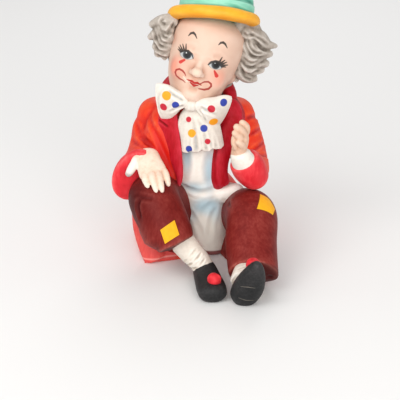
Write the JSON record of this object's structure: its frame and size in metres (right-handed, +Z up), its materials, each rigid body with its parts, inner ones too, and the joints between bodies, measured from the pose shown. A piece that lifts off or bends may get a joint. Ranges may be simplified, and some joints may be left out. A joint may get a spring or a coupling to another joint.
{
  "type": "clown figurine",
  "caption": "Seated clown figurine with a bowler hat, curly hair, spotted bow tie, tail coat and baggy trousers, one hand on a raised knee and the other lifted.",
  "frame": {"origin": "centre of the flat underside under the hips, on the surface that the figurine sits on", "axes": "+Z up through the hat, -Y the way the clown faces, +X the side of the raised hand"},
  "size_m": [0.0812, 0.1184, 0.1418],
  "materials": {
    "painted_bisque": "matte hand-painted bisque"
  },
  "bodies": {
    "root": {"clown_figurine": "painted_bisque"}
  },
  "joints": []
}
